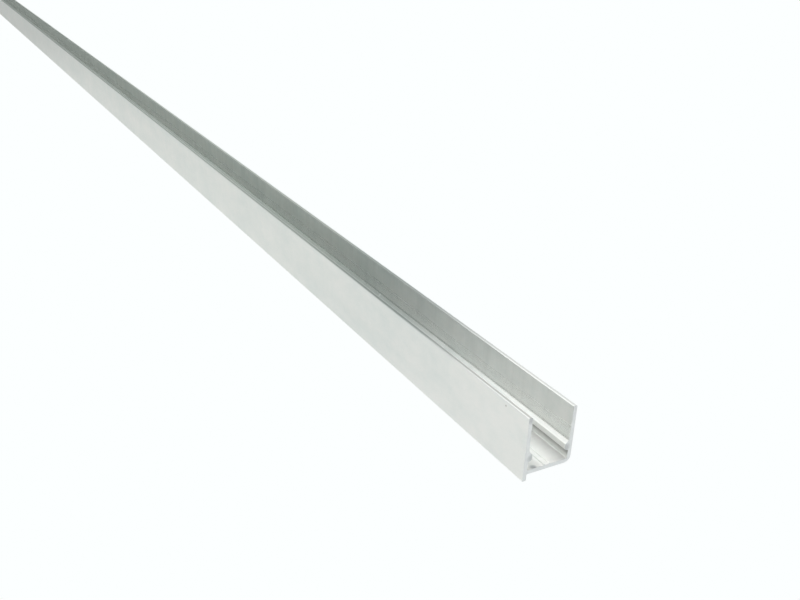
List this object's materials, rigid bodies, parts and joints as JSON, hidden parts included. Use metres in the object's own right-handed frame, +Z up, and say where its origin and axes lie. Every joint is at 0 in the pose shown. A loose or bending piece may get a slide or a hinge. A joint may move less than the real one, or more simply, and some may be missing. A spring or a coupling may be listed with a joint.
{
  "type": "aluminium extrusion profile",
  "caption": "Mill-finish aluminium U channel for closing the edge of a sheet, with a drip lip under one leg and seat beads inside.",
  "frame": {"origin": "on the floor, under the middle of the channel's bounding box at its resting attitude", "axes": "+Y along the stock, +Z up with the slot's mouth up, +X from the lipped leg towards the plain leg; the section leans about 8.9 degrees towards +X because it rests on its drip lip and its heel"},
  "size_m": [0.0228, 2.1, 0.0239],
  "materials": {
    "mill_aluminium": "mill finish, as extruded, with fine die lines along the length"
  },
  "bodies": {
    "root": {"channel_profile": "mill_aluminium"}
  },
  "joints": []
}
